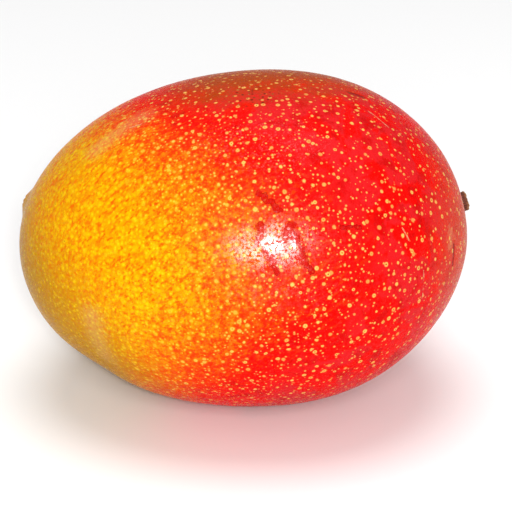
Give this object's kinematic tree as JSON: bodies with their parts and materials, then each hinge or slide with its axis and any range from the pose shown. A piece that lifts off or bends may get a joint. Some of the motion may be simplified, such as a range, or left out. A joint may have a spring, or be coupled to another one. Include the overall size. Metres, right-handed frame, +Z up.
{
  "type": "mango fruit",
  "caption": "Whole ripe mango lying on its cheek, with a shallow stem basin, a woody stalk stub, a small beak and a flat resting spot.",
  "frame": {"origin": "middle of the bounding box, at the height of the flat spot that the fruit rests on", "axes": "+X along the long axis to the stem end, -X to the beak end, -Y to the back of the fruit, +Z up from the resting spot"},
  "size_m": [0.1168, 0.0934, 0.0848],
  "materials": {
    "skin": "waxy, half gloss, yellow at the beak end and red at the stem end",
    "stalk": "dry, matt, brown"
  },
  "bodies": {
    "root": {"fruit": "skin", "stem_stub": "stalk"}
  },
  "joints": []
}
